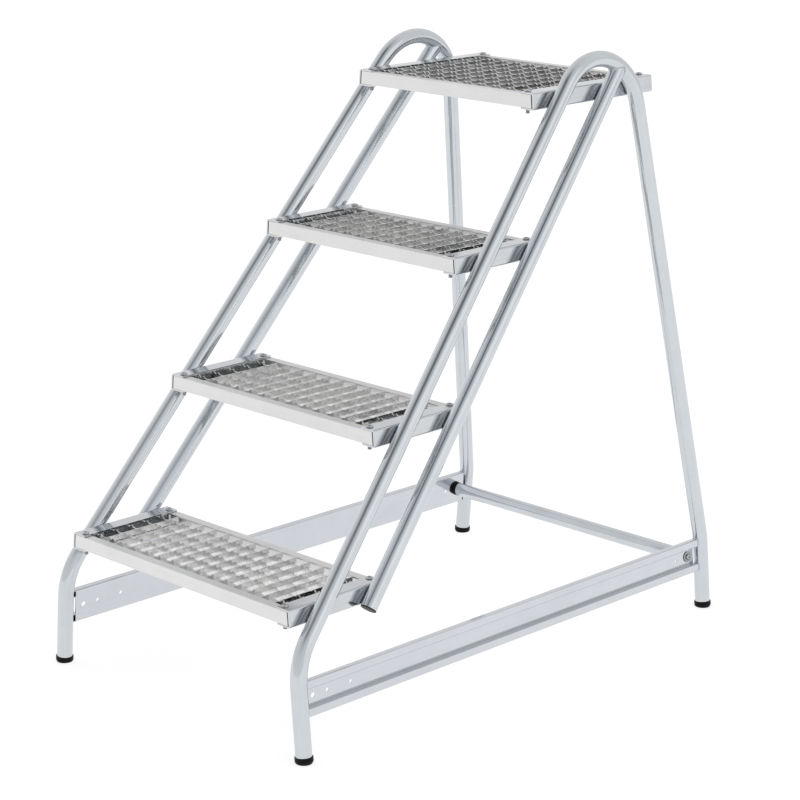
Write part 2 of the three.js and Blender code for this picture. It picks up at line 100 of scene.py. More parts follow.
# rear cross tube
CROSS_TUBE_RADIUS = 13
CROSS_TUBE_Y = REAR_LEG - CROSS_HOLE_OFFSET
COLLAR_RADIUS = 13.3
COLLAR_LENGTH = 8
COLLAR_STEM = 18
COLLAR_STEM_RADIUS = 10.9
CROSS_BOLT_BORE = 3.4
WASHER_RADIUS = 10
WASHER_THICKNESS = 1.5
CROSS_BOLT_LENGTH = 22
CROSS_BOLT_RADIUS = 3

# treads and platform
RISE = 250
RUN = 211.1
FIRST_TREAD_HEIGHT = 247.5
FIRST_TREAD_FRONT = FRONT_LEG + 3.4
CHANNEL_HEIGHT = 30
CHANNEL_FLANGE = 30
CHANNEL_SHEET = 3
CHANNEL_BEND = 1.6
EDGE_BAR_WIDTH = 17
EDGE_BAR_SHEET = 2.5
EDGE_BAR_END_GAP = 2.2
# clearance round the black strips that paint the shade in the slits at the edge bars' ends
SLIT_SHADE_STRIP_CLEARANCE = 0.05
BOLT_INSET = 10.5
BOLT_REACH = 20.5
BOLT_RADIUS = 3.5
BOLT_HEAD_RADIUS = 6.3
BOLT_HEAD_HEIGHT = 2.8
BOLT_TAIL = 8
BOLT_SIDES = 36
THREAD_TURNS = 14
THREAD_PITCH = 1.0
THREAD_DEPTH = 0.45

# gratings
PITCH = 34.3
BAR_THICKNESS = 2.2
CROSS_BAR_DEPTH = 10
FIRST_BEARING_BAR = 28
TOOTH_LENGTH = PITCH / 3
TOOTH_SHIFT = 2
TOOTH_RISE = 3.4
TOOTH_STEPS = 10
CROSS_BAR_SINK = 0.25
CROSS_BAR_CHAMFER = 0.3

# weld beads: half widths, and the wave along each bead
LOOP_WELD = 1.5
RAIL_WELD = 1.5
CROWN_WELD = 1.4
CHANNEL_WELD = 1.3
WELD_STEP = 0.45
RIPPLE_PITCH = 1.7
BEAD_SIDES = 12

# shading: the angles above which an edge stays sharp, and above which it is broken
CREASE_ANGLE = math.radians(32)
EDGE_BREAK_ANGLE = math.radians(50)
FOLD_STEPS = 6

# studio: brightness of the surround by its angle, in degrees, from the middle of the dark zone;
# softboxes by azimuth, elevation, distance, size and added brightness
FLOOR_GLOW = 0.74
DARK_ZONE = (165, 62)
DARK_ZONE_LEVELS = (
    (0, 0.19),
    (9, 0.22),
    (14, 0.36),
    (20, 0.53),
    (28, 0.68),
    (40, 0.80),
    (60, 0.86),
    (110, 0.86),
)
SOFTBOXES = {
    "right_softbox": (82, 20, 7.0, 5.0, 0.28),
    "left_softbox": (-92, 17, 7.0, 3.4, 0.2),
}
CAMERA_PLACE = (3.0118, -2.9793, 1.6215)
CAMERA_TARGET = (0.0286, -0.0100, 0.4482)
CAMERA_ROLL = math.radians(-0.049)
CAMERA_LENS = 111.15

LEVELS = (
    {"name": "tread1", "level": 0, "cross_bars": 14, "bearing_bars": 5, "depth": 208.5},
    {"name": "tread2", "level": 1, "cross_bars": 12, "bearing_bars": 5, "depth": 208.5},
    {"name": "tread3", "level": 2, "cross_bars": 11, "bearing_bars": 5, "depth": 208.5},
    {"name": "platform", "level": 3, "cross_bars": 10, "bearing_bars": 8, "depth": 314.5},
)

# ---------------------------------------------------------------- shader building blocks


def new_group(name, inputs, outputs):
    group = bpy.data.node_groups.new(name, "ShaderNodeTree")
    for socket_name, kind, value in inputs:
        socket = group.interface.new_socket(socket_name, in_out="INPUT", socket_type=kind)
        if value is not None:
            socket.default_value = value
    for socket_name, kind in outputs:
        group.interface.new_socket(socket_name, in_out="OUTPUT", socket_type=kind)
    return group, group.nodes.new("NodeGroupInput"), group.nodes.new("NodeGroupOutput")


def math_node(tree, operation, first, second=None):
    node = tree.nodes.new("ShaderNodeMath")
    node.operation = operation
    for socket, value in zip(node.inputs, (first, second)):
        if value is None:
            continue
        if isinstance(value, (int, float)):
            socket.default_value = value
        else:
            tree.links.new(value, socket)
    return node.outputs[0]


def map_range(tree, value, low, high, new_low, new_high):
    node = tree.nodes.new("ShaderNodeMapRange")
    tree.links.new(value, node.inputs["Value"])
    node.inputs["From Min"].default_value = low
    node.inputs["From Max"].default_value = high
    node.inputs["To Min"].default_value = new_low
    node.inputs["To Max"].default_value = new_high
    return node.outputs["Result"]


def stretched(tree, vector, scale):
    node = tree.nodes.new("ShaderNodeMapping")
    tree.links.new(vector, node.inputs["Vector"])
    node.inputs["Scale"].default_value = scale
    return node.outputs["Vector"]


def noise(tree, vector, scale, detail=3.0, roughness=0.55):
    node = tree.nodes.new("ShaderNodeTexNoise")
    tree.links.new(vector, node.inputs["Vector"])
    node.inputs["Scale"].default_value = scale
    node.inputs["Detail"].default_value = detail
    node.inputs["Roughness"].default_value = roughness
    return node.outputs["Fac"]


def weighted_sum(tree, *terms):
    """Adds up sockets, each times its weight."""
    total = None
    for socket, weight in terms:
        part = math_node(tree, "MULTIPLY", socket, weight)
        total = part if total is None else math_node(tree, "ADD", total, part)
    return total


def build_clouding():
    """Soft patches of brighter and duller plate, a few centimetres across."""
    group, given, result = new_group(
        "plate_clouding",
        [("Vector", "NodeSocketVector", None), ("Spread", "NodeSocketFloat", 18.0)],
        [("Mask", "NodeSocketFloat"), ("Fine Mask", "NodeSocketFloat")],
    )
    broad = group.nodes.new("ShaderNodeTexNoise")
    group.links.new(given.outputs["Vector"], broad.inputs["Vector"])
    group.links.new(given.outputs["Spread"], broad.inputs["Scale"])
    broad.inputs["Detail"].default_value = 4.0
    fine = noise(group, given.outputs["Vector"], 420.0, 3.0, 0.6)
    group.links.new(map_range(group, broad.outputs["Fac"], 0.3, 0.7, 0, 1), result.inputs["Mask"])
    group.links.new(map_range(group, fine, 0.3, 0.7, 0, 1), result.inputs["Fine Mask"])
    return group


def build_drawing_lines():
    """Fine lengthwise lines left by the drawing or rolling of the metal."""
    group, given, result = new_group(
        "drawing_lines",
        [("Vector", "NodeSocketVector", None)],
        [("Lines", "NodeSocketFloat"), ("Bands", "NodeSocketFloat")],
    )
    close = stretched(group, given.outputs["Vector"], (6.0, 900.0, 900.0))
    wide = stretched(group, given.outputs["Vector"], (1.5, 160.0, 160.0))
    lines = map_range(group, noise(group, close, 1.0, 4.0), 0.25, 0.75, 0, 1)
    bands = map_range(group, noise(group, wide, 1.0, 2.0), 0.3, 0.7, 0, 1)
    group.links.new(lines, result.inputs["Lines"])
    group.links.new(bands, result.inputs["Bands"])
    return group


def build_scratches():
    """Sparse handling scratches at two angles."""
    group, given, result = new_group(
        "handling_scratches",
        [("Vector", "NodeSocketVector", None)],
        [("Mask", "NodeSocketFloat")],
    )
    masks = []
    for turn in (0.4, -0.9):
        turned_vector = group.nodes.new("ShaderNodeMapping")
        group.links.new(given.outputs["Vector"], turned_vector.inputs["Vector"])
        turned_vector.inputs["Rotation"].default_value = (turn, turn * 0.6, turn * 1.3)
        turned_vector.inputs["Scale"].default_value = (8.0, 700.0, 60.0)
        grain = noise(group, turned_vector.outputs["Vector"], 1.0, 2.0)
        masks.append(map_range(group, grain, 0.70, 0.76, 0, 1))
    group.links.new(math_node(group, "MAXIMUM", masks[0], masks[1]), result.inputs["Mask"])
    return group


def build_spangle():
    """Crystal patches of hot-dip zinc, a few millimetres across."""
    group, given, result = new_group(
        "zinc_spangle",
        [("Vector", "NodeSocketVector", None), ("Cells", "NodeSocketFloat", 260.0)],
        [("Shade", "NodeSocketFloat")],
    )
    cells = group.nodes.new("ShaderNodeTexVoronoi")
    group.links.new(given.outputs["Vector"], cells.inputs["Vector"])
    group.links.new(given.outputs["Cells"], cells.inputs["Scale"])
    shade = group.nodes.new("ShaderNodeSeparateColor")
    group.links.new(cells.outputs["Color"], shade.inputs["Color"])
    group.links.new(shade.outputs[0], result.inputs["Shade"])
    return group


def build_plastic_grain():
    """The fine stipple of moulded plastic, with faint scuffs."""
    group, given, result = new_group(
        "plastic_grain",
        [("Vector", "NodeSocketVector", None)],
        [("Height", "NodeSocketFloat"), ("Scuffs", "NodeSocketFloat")],
    )
    stipple = noise(group, given.outputs["Vector"], 2600.0, 2.0, 0.5)
    scuffs = map_range(group, noise(group, given.outputs["Vector"], 240.0, 5.0), 0.52, 0.7, 0, 1)
    group.links.new(stipple, result.inputs["Height"])
    group.links.new(scuffs, result.inputs["Scuffs"])
    return group


CLOUDING = build_clouding()
DRAWING_LINES = build_drawing_lines()
SCRATCHES = build_scratches()
SPANGLE = build_spangle()
PLASTIC_GRAIN = build_plastic_grain()


def place_group(tree, group, vector, **values):
    node = tree.nodes.new("ShaderNodeGroup")
    node.node_tree = group
    tree.links.new(vector, node.inputs["Vector"])
    for socket_name, value in values.items():
        node.inputs[socket_name].default_value = value
    return node


def mix_color(tree, factor, first, second):
    node = tree.nodes.new("ShaderNodeMix")
    node.data_type = "RGBA"
    tree.links.new(factor, node.inputs["Factor"])
    for socket, value in zip((node.inputs[6], node.inputs[7]), (first, second)):
        if isinstance(value, tuple):
            socket.default_value = (*value, 1)
        else:
            tree.links.new(value, socket)
    return node.outputs[2]


def bump(tree, height, distance, strength, under=None):
    node = tree.nodes.new("ShaderNodeBump")
    tree.links.new(height, node.inputs["Height"])
    node.inputs["Distance"].default_value = distance
    node.inputs["Strength"].default_value = strength
    if under is not None:
        tree.links.new(under, node.inputs["Normal"])
    return node.outputs["Normal"]


def start_material(name):
    material = bpy.data.materials.new(name)
    material.use_nodes = True
    tree = material.node_tree
    shader = tree.nodes["Principled BSDF"]
    coordinates = tree.nodes.new("ShaderNodeTexCoord")
    return material, tree, shader, coordinates


def zinc_plate(name, bright, dull, smooth, rough, line_depth):
    """Bright zinc plate on drawn or rolled steel."""
    material, tree, shader, coordinates = start_material(name)
    place = coordinates.outputs["Object"]
    clouds = place_group(tree, CLOUDING, place)
    lines = place_group(tree, DRAWING_LINES, coordinates.outputs["UV"])
    scratches = place_group(tree, SCRATCHES, place)
    worn = weighted_sum(tree, (clouds.outputs["Mask"], 0.6), (lines.outputs["Bands"], 0.4))
    color = mix_color(tree, worn, bright, dull)
    tree.links.new(color, shader.inputs["Base Color"])
    gloss = weighted_sum(
        tree,
        (clouds.outputs["Fine Mask"], 0.35),
        (lines.outputs["Lines"], 0.35),
        (clouds.outputs["Mask"], 0.3),
        (scratches.outputs["Mask"], 0.5),
    )
    tree.links.new(map_range(tree, gloss, 0, 1, smooth, rough), shader.inputs["Roughness"])
    relief = math_node(tree, "SUBTRACT", lines.outputs["Lines"], scratches.outputs["Mask"])
    surface = bump(tree, relief, line_depth, 0.5)
    surface = bump(tree, clouds.outputs["Fine Mask"], 0.00003, 0.3, surface)
    tree.links.new(surface, shader.inputs["Normal"])
    shader.inputs["Metallic"].default_value = 1.0
    return material


def dipped_zinc(name, bright, dull, smooth, rough):
    """Galvanised steel, with faint crystal patches and a slightly uneven skin."""
    material, tree, shader, coordinates = start_material(name)
    place = coordinates.outputs["Object"]
    spangle = place_group(tree, SPANGLE, place)
    clouds = place_group(tree, CLOUDING, place, Spread=60.0)
    shade = weighted_sum(tree, (spangle.outputs["Shade"], 0.5), (clouds.outputs["Mask"], 0.5))
    tree.links.new(mix_color(tree, shade, bright, dull), shader.inputs["Base Color"])
    tree.links.new(map_range(tree, shade, 0, 1, smooth, rough), shader.inputs["Roughness"])
    surface = bump(tree, clouds.outputs["Mask"], 0.0004, 0.5)
    surface = bump(tree, clouds.outputs["Fine Mask"], 0.00006, 0.4, surface)
    tree.links.new(surface, shader.inputs["Normal"])
    shader.inputs["Metallic"].default_value = 1.0
    return material


def moulded_plastic(name, color, scuffed, roughness, stipple):
    """Matt black moulding, duller where it is scuffed."""
    material, tree, shader, coordinates = start_material(name)
    grain = place_group(tree, PLASTIC_GRAIN, coordinates.outputs["Object"])
    tree.links.new(
        mix_color(tree, grain.outputs["Scuffs"], color, scuffed), shader.inputs["Base Color"]
    )
    tree.links.new(
        map_range(tree, grain.outputs["Scuffs"], 0, 1, roughness, roughness + 0.2),
        shader.inputs["Roughness"],
    )
    tree.links.new(bump(tree, grain.outputs["Height"], stipple, 0.4), shader.inputs["Normal"])
    shader.inputs["Specular IOR Level"].default_value = 0.12
    return material


TUBE_ZINC = zinc_plate(
    "tube_zinc_plate", (0.63, 0.66, 0.69), (0.57, 0.60, 0.63), 0.06, 0.17, 0.00001
)
RAIL_ZINC = zinc_plate(
    "rail_zinc_plate", (0.64, 0.66, 0.695), (0.59, 0.61, 0.645), 0.05, 0.15, 0.000008
)
CHANNEL_ZINC = zinc_plate(
    "channel_zinc_plate", (0.64, 0.66, 0.68), (0.56, 0.58, 0.60), 0.07, 0.18, 0.00001
)
EDGE_BAR_ZINC = zinc_plate(
    "edge_bar_zinc", (0.76, 0.76, 0.755), (0.73, 0.73, 0.725), 0.34, 0.46, 0.000012
)
GRATING_ZINC = dipped_zinc(
    "grating_zinc_dip", (0.82, 0.82, 0.815), (0.62, 0.62, 0.615), 0.08, 0.24
)
BOLT_ZINC = dipped_zinc("bolt_dull_zinc", (0.56, 0.57, 0.58), (0.42, 0.43, 0.44), 0.2, 0.36)
# the washer under each cross bolt is a real part; its dark tone is painted shade round the bolt
WASHER_PAINTED_SHADE_ZINC = dipped_zinc("washer_painted_shade_zinc", (0.40, 0.41, 0.42), (0.30, 0.31, 0.32), 0.25, 0.4)
WELD_ZINC = dipped_zinc("weld_bead_zinc", (0.60, 0.62, 0.64), (0.42, 0.44, 0.46), 0.22, 0.4)
BLACK_PLASTIC = moulded_plastic(
    "black_moulding", (0.004, 0.004, 0.005), (0.010, 0.010, 0.011), 0.4, 0.00004
)

# ---------------------------------------------------------------- mesh tools


def loft(name, rings, joined_ends=False, capped=True):
    """A skin over a row of rings of equal count, mapped along and around in metres."""
    mesh = bmesh.new()
    grain = mesh.loops.layers.uv.new("grain")
    rows = [[mesh.verts.new(point * MM) for point in ring] for ring in rings]
    count = len(rings[0])
    middles = [sum(ring, Vector()) / count for ring in rings]
    along = [0.0]
    for before, after in zip(middles, middles[1:] + middles[:1]):
        along.append(along[-1] + (after - before).length * MM)
    around = [0.0]
    widest = max(rings, key=lambda ring: sum((a - b).length for a, b in zip(ring, ring[1:])))
    for before, after in zip(widest, widest[1:] + widest[:1]):
        around.append(around[-1] + (after - before).length * MM)
    last = len(rows) if joined_ends else len(rows) - 1
    for i in range(last):
        upper = rows[(i + 1) % len(rows)]
        for j in range(count):
            k = (j + 1) % count
            face = mesh.faces.new((rows[i][j], rows[i][k], upper[k], upper[j]))
            corners = ((i, j), (i, j + 1), (i + 1, j + 1), (i + 1, j))
            for loop, (row, column) in zip(face.loops, corners):
                loop[grain].uv = (along[row], around[column])
    if capped and not joined_ends:
        mesh.faces.new(rows[0])
        mesh.faces.new(rows[-1])
    bmesh.ops.remove_doubles(mesh, verts=mesh.verts, dist=1e-7)
    bmesh.ops.recalc_face_normals(mesh, faces=mesh.faces)
    return to_object(name, mesh)


def to_object(name, mesh):
    data = bpy.data.meshes.new(name)
    mesh.to_mesh(data)
    mesh.free()
    piece = bpy.data.objects.new(name, data)
    bpy.context.scene.collection.objects.link(piece)
    return piece


def circle(radius, sides):
    steps = [2 * math.pi * k / sides for k in range(sides)]
    return [(radius * math.cos(turn), radius * math.sin(turn)) for turn in steps]


def hexagon(radius, sides):
    """Points on a hexagon, at the same angles as the points of a circle."""
    points = []
    for k in range(sides):
        turn = 2 * math.pi * k / sides
        within = (turn % (math.pi / 3)) - math.pi / 6
        reach = radius * math.cos(math.pi / 6) / math.cos(within)
        points.append((reach * math.cos(turn), reach * math.sin(turn)))
    return points


def filleted(corners, radius):
    """An open line with its inner corners rounded, as points with their left-hand normals."""
    points = []
    for index, corner in enumerate(corners):
        here = Vector(corner)
        if index in (0, len(corners) - 1):
            towards = Vector(corners[1]) - here if index == 0 else here - Vector(corners[-2])
            towards.normalize()
            points.append((here, Vector((-towards.y, towards.x))))
            continue
        arriving = (here - Vector(corners[index - 1])).normalized()
        leaving = (Vector(corners[index + 1]) - here).normalized()
        turn = arriving.angle_signed(leaving)
        used = radius * math.tan(abs(turn) / 2)
        start = here - arriving * used
        spin = -1 if turn > 0 else 1
        left = Vector((-arriving.y, arriving.x))
        centre = start + left * radius * spin
        for step in range(FOLD_STEPS + 1):
            angle = spin * abs(turn) * step / FOLD_STEPS
            arm = Matrix.Rotation(angle, 2) @ (start - centre)
            points.append((centre + arm, arm.normalized() * -spin))
    return points


def folded_sheet(corners, thickness, radius):
    """The outline of a sheet folded along a middle line, with rounded folds."""
    line = filleted(corners, radius)
    near = [point + normal * thickness / 2 for point, normal in line]
    far = [point - normal * thickness / 2 for point, normal in line]
    return near + far[::-1]


def rod_cutter(centre, axis, radius, half_length, sides=40):
    turn = Vector(axis).to_track_quat("Z", "Y").to_matrix()
    rings = []
    for height in (-half_length, half_length):
        ring = [turn @ Vector((x, y, height)) + Vector(centre) for x, y in circle(radius, sides)]
        rings.append(ring)
    return loft("cutter", rings)


def cut(piece, cutters):
    """Takes each cutter out of the piece, and throws the cutters away."""
    for cutter in cutters:
        step = piece.modifiers.new("cut", "BOOLEAN")
        step.operation = "DIFFERENCE"
        step.solver = "EXACT"
        step.object = cutter
        bpy.context.view_layer.objects.active = piece
        bpy.ops.object.modifier_apply(modifier=step.name)
        bpy.data.objects.remove(cutter)
    return piece


def finish_piece(piece, material, stands_for=(), edge=0.0):
    """Shading, a small edge break, a finish and a place on the frame."""
    piece.data.materials.clear()
    piece.data.materials.append(material)
    for face in piece.data.polygons:
        face.material_index = 0
        face.use_smooth = True
    piece.data.set_sharp_from_angle(angle=CREASE_ANGLE)
    if edge:
        break_edges = piece.modifiers.new("edge_break", "BEVEL")
        break_edges.width = edge * MM
        break_edges.segments = 2
        break_edges.limit_method = "ANGLE"
        break_edges.angle_limit = EDGE_BREAK_ANGLE
        break_edges.harden_normals = True
    weighted = piece.modifiers.new("flat_faces", "WEIGHTED_NORMAL")
    weighted.keep_sharp = True
    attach(piece, "root")
    if stands_for:
        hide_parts(*stands_for)
    return piece


def join_objects(name, pieces):
    bpy.ops.object.select_all(action="DESELECT")
    for piece in pieces:
        piece.select_set(True)
    bpy.context.view_layer.objects.active = pieces[0]
    bpy.ops.object.join()
    pieces[0].name = name
    return pieces[0]


# ---------------------------------------------------------------- places on the leaning frames


def frame_point(side, u, y, v):
    x = side * (LEG_HALF_SPREAD - v * SIN_LEAN + u * COS_LEAN)
    return Vector((x, y, v * COS_LEAN + u * SIN_LEAN))


def frame_outward(side):
    return Vector((side * COS_LEAN, 0, SIN_LEAN))


def bend_stations(corner, heading_in, heading_out, radius):
    """Stations round one bend, each a place (y, v) and a heading from upright toward the rear."""
    turn = heading_out - heading_in
    used = radius * math.tan(turn / 2)
    start_y = corner[0] - used * math.sin(heading_in)
    start_v = corner[1] - used * math.cos(heading_in)
    centre_y = start_y + radius * math.cos(heading_in)
    centre_v = start_v - radius * math.sin(heading_in)
    steps = max(2, math.ceil(turn / BEND_STEP))
    stations = []
    for step in range(steps + 1):
        heading = heading_in + turn * step / steps
        y = centre_y - radius * math.cos(heading)
        v = centre_v + radius * math.sin(heading)
        stations.append((y, v, heading))
    return stations


TOP_BEND = (FRONT_LEG + (TOP_BEND_HEIGHT - FRONT_BEND[1]) * math.tan(STILE_ANGLE), TOP_BEND_HEIGHT)
REAR_HEADING = math.pi - math.atan2(REAR_LEG - TOP_BEND[0], TOP_BEND[1] - REAR_BEND[1])


def stile_stations():
    stations = [(FRONT_LEG, FOOT_HEIGHT + CLEARANCE, 0.0)]
    stations += bend_stations(FRONT_BEND, 0.0, STILE_ANGLE, LEG_BEND_RADIUS)
    stations += bend_stations(TOP_BEND, STILE_ANGLE, REAR_HEADING, TOP_BEND_RADIUS)
    stations += bend_stations(REAR_BEND, REAR_HEADING, math.pi, LEG_BEND_RADIUS)
    stations.append((REAR_LEG, FOOT_HEIGHT + CLEARANCE, math.pi))
    return stations


def tube_rings(side, stations, radius):
    rings = []
    for y, v, heading in stations:
        ring = []
        for across, inward in circle(radius, TUBE_SIDES):
            shift_y = inward * math.cos(heading)
            shift_v = -inward * math.sin(heading)
            ring.append(frame_point(side, across, y + shift_y, v + shift_v))
        rings.append(ring)
    return rings


def hollow_tube(name, outer_rings, inner_rings):
    return loft(name, outer_rings + inner_rings[::-1], joined_ends=True)


def stile_envelope(side):
    stations = stile_stations()
    return loft("cutter", tube_rings(side, stations, TUBE_RADIUS + 0.1))


# ---------------------------------------------------------------- weld beads


def weld_bead(name, path, normals, radius, closed=False):
    """A rippled run of weld metal along a path, flattened against the joint."""
    tangents = []
    count = len(path)
    for i in range(count):
        before = path[(i - 1) % count] if closed or i else path[0]
        after = path[(i + 1) % count] if closed or i < count - 1 else path[-1]
        tangents.append((after - before).normalized())
    rings = []
    travelled = 0.0
    for i, (point, tangent, normal) in enumerate(zip(path, tangents, normals)):
        if i:
            travelled += (point - path[i - 1]).length
        side_axis = tangent.cross(normal).normalized()
        up_axis = side_axis.cross(tangent).normalized()
        swell = 1 + 0.10 * math.sin(2 * math.pi * travelled / RIPPLE_PITCH)
        swell += 0.06 * math.sin(0.9 * travelled + radius)
        taper = 1.0
        if not closed:
            nearest_end = min(i, count - 1 - i) / max(1, count - 1)
            taper = min(1.0, 0.25 + 6 * nearest_end)
        size = radius * swell * taper
        ring = []
        for x, y in circle(1, BEAD_SIDES):
            ring.append(point + side_axis * x * size + up_axis * y * size * 0.75)
        rings.append(ring)
    bead = loft(name, rings, joined_ends=closed)
    return finish_piece(bead, WELD_ZINC)


def evenly(start, end):
    count = max(4, int((end - start).length / WELD_STEP))
    return [start.lerp(end, k / count) for k in range(count + 1)]


# ---------------------------------------------------------------- side frames


def make_stile(side_name, side):
    stations = stile_stations()
    outer = tube_rings(side, stations, TUBE_RADIUS)
    inner = tube_rings(side, stations, TUBE_RADIUS - TUBE_WALL)
    tube = hollow_tube(f"bent_stile_{side_name}", outer, inner)
    finish_piece(tube, TUBE_ZINC, [f"stile_tube_{side_name}"])


def inner_stile_foot():
    stile_y = FRONT_LEG + (INNER_STILE_START - FRONT_BEND[1]) * math.tan(STILE_ANGLE)
    return stile_y + STILE_SPACING / math.cos(STILE_ANGLE), INNER_STILE_START


def loop_centre():
    first = bend_stations(TOP_BEND, STILE_ANGLE, REAR_HEADING, TOP_BEND_RADIUS)[0]
    y = first[0] + TOP_BEND_RADIUS * math.cos(STILE_ANGLE)
    v = first[1] - TOP_BEND_RADIUS * math.sin(STILE_ANGLE)
    return y, v


def notch_length(across, inward):
    """How far one line of the inner stile runs before it meets the top loop."""
    foot_y, foot_v = inner_stile_foot()
    loop_y, loop_v = loop_centre()
    start_y = foot_y + inward * math.cos(STILE_ANGLE)
    start_v = foot_v - inward * math.sin(STILE_ANGLE)
    near = (TOP_BEND_HEIGHT - INNER_STILE_START) / math.cos(STILE_ANGLE) - STILE_SPACING
    near -= NOTCH_SEARCH_SPAN
    far = near + NOTCH_SEARCH_SPAN
    for _ in range(NOTCH_SEARCH_STEPS):
        middle = (near + far) / 2
        y = start_y + middle * math.sin(STILE_ANGLE)
        v = start_v + middle * math.cos(STILE_ANGLE)
        ring_gap = math.hypot(y - loop_y, v - loop_v) - TOP_BEND_RADIUS
        if math.hypot(ring_gap, across) > TUBE_RADIUS + CLEARANCE and ring_gap < 0:
            near = middle
        else:
            far = middle
    return near


def inner_stile_rings(side, radius):
    foot_y, foot_v = inner_stile_foot()
    rings = []
    for share in (0.0, 0.25, 0.5, 0.75, 0.9, 1.0):
        ring = []
        for across, inward in circle(radius, TUBE_SIDES):
            travel = share * notch_length(across, inward)
            y = foot_y + inward * math.cos(STILE_ANGLE) + travel * math.sin(STILE_ANGLE)
            v = foot_v - inward * math.sin(STILE_ANGLE) + travel * math.cos(STILE_ANGLE)
            ring.append(frame_point(side, across, y, v))
        rings.append(ring)
    return rings


def make_inner_stile(side_name, side):
    outer = inner_stile_rings(side, TUBE_RADIUS)
    inner = inner_stile_rings(side, TUBE_RADIUS - TUBE_WALL)
    tube = hollow_tube(f"notched_stile_{side_name}", outer, inner)
    finish_piece(tube, TUBE_ZINC, [f"inner_stile_{side_name}"])
    notch = outer[-1]
    middle = sum(notch, Vector()) / len(notch)
    normals = [(point - middle).normalized() for point in notch]
    path = []
    path_normals = []
    fineness = 6
    for i, point in enumerate(notch):
        following = (i + 1) % len(notch)
        for step in range(fineness):
            share = step / fineness
            path.append(point.lerp(notch[following], share))
            path_normals.append(normals[i].lerp(normals[following], share).normalized())
    weld_bead(f"loop_weld_{side_name}", path, path_normals, LOOP_WELD, closed=True)


def turned_on_frame(name, side, y, v, heading, profile):
    """A turned piece whose axis runs along a frame tube, from (radius, travel) pairs."""
    rings = []
    for radius, travel in profile:
        ring = []
        for across, inward in circle(radius, ROUND_SIDES):
            place_y = y + inward * math.cos(heading) + travel * math.sin(heading)
            place_v = v - inward * math.sin(heading) + travel * math.cos(heading)
            ring.append(frame_point(side, across, place_y, place_v))
        rings.append(ring)
    return loft(name, rings, capped=False)


def make_plug(side_name, side):
    y, v = inner_stile_foot()
    face = -CLEARANCE - PLUG_HEAD
    profile = [
        (0, face),
        (TUBE_RADIUS - 1.2, face),
        (TUBE_RADIUS - 0.5, face + 0.2),
        (TUBE_RADIUS - 0.1, face + 0.7),
        (TUBE_RADIUS - 0.1, -CLEARANCE),
        (STEM_BORE, -CLEARANCE),
        (STEM_BORE, PLUG_STEM - 2),
        (STEM_BORE - 0.8, PLUG_STEM),
        (0, PLUG_STEM),
    ]
    plug = turned_on_frame(f"stile_end_plug_{side_name}", side, y, v, STILE_ANGLE, profile)
    finish_piece(plug, BLACK_PLASTIC, [f"inner_stile_plug_{side_name}"])


def make_foot(end_name, side_name, side, y):
    profile = [
        (0, -SOLE_TRIM),
        (SOLE_RADIUS, -SOLE_TRIM),
        (FOOT_RADIUS - 0.6, 1.9),
        (FOOT_RADIUS, 3.0),
        (FOOT_RADIUS, 6.2),
        (FOOT_RADIUS - 0.35, 6.6),
        (FOOT_RADIUS - 0.35, 7.0),
        (FOOT_RADIUS, 7.4),
        (FOOT_RADIUS, FOOT_HEIGHT - 1.0),
        (FOOT_RADIUS - 0.3, FOOT_HEIGHT - 0.3),
        (FOOT_RADIUS - 1.0, FOOT_HEIGHT),
        (STEM_BORE, FOOT_HEIGHT),
        (STEM_BORE, FOOT_HEIGHT + FOOT_STEM - 2),
        (STEM_BORE - 1.0, FOOT_HEIGHT + FOOT_STEM),
        (0, FOOT_HEIGHT + FOOT_STEM),
    ]
    foot = turned_on_frame(f"ribbed_foot_{end_name}_{side_name}", side, y, 0, 0.0, profile)
    level_sole(foot)
    finish_piece(foot, BLACK_PLASTIC, [f"foot_{end_name}_{side_name}"])


def level_sole(foot):
    """Trims a foot level with the floor."""
    mesh = bmesh.new()
    mesh.from_mesh(foot.data)
    everything = mesh.verts[:] + mesh.edges[:] + mesh.faces[:]
    cut_line = bmesh.ops.bisect_plane(
        mesh, geom=everything, plane_co=(0, 0, 0), plane_no=(0, 0, 1), clear_inner=True
    )
    rim = [item for item in cut_line["geom_cut"] if isinstance(item, bmesh.types.BMEdge)]
    bmesh.ops.contextual_create(mesh, geom=rim)
    bmesh.ops.recalc_face_normals(mesh, faces=mesh.faces)
    mesh.to_mesh(foot.data)
    mesh.free()


# ---------------------------------------------------------------- base rails


def rail_outline():
    half = RAIL_SHEET / 2
    low = RAIL_CENTRE - RAIL_HEIGHT / 2 + half
    high = RAIL_CENTRE + RAIL_HEIGHT / 2 - half
    lip_low = low + RAIL_LIP - RAIL_SHEET
    lip_high = high - RAIL_LIP + RAIL_SHEET
    inner = RAIL_INNER + half
    outer = RAIL_OUTER - half
    tucked = RAIL_INNER + RAIL_SHEET + RAIL_SEAM
    middle_line = [
        (tucked, lip_low),
        (outer, lip_low),
        (outer, low),
        (inner, low),
        (inner, high),
        (outer, high),
        (outer, lip_high),
        (tucked, lip_high),
    ]
    return folded_sheet(middle_line, RAIL_SHEET, RAIL_BEND)


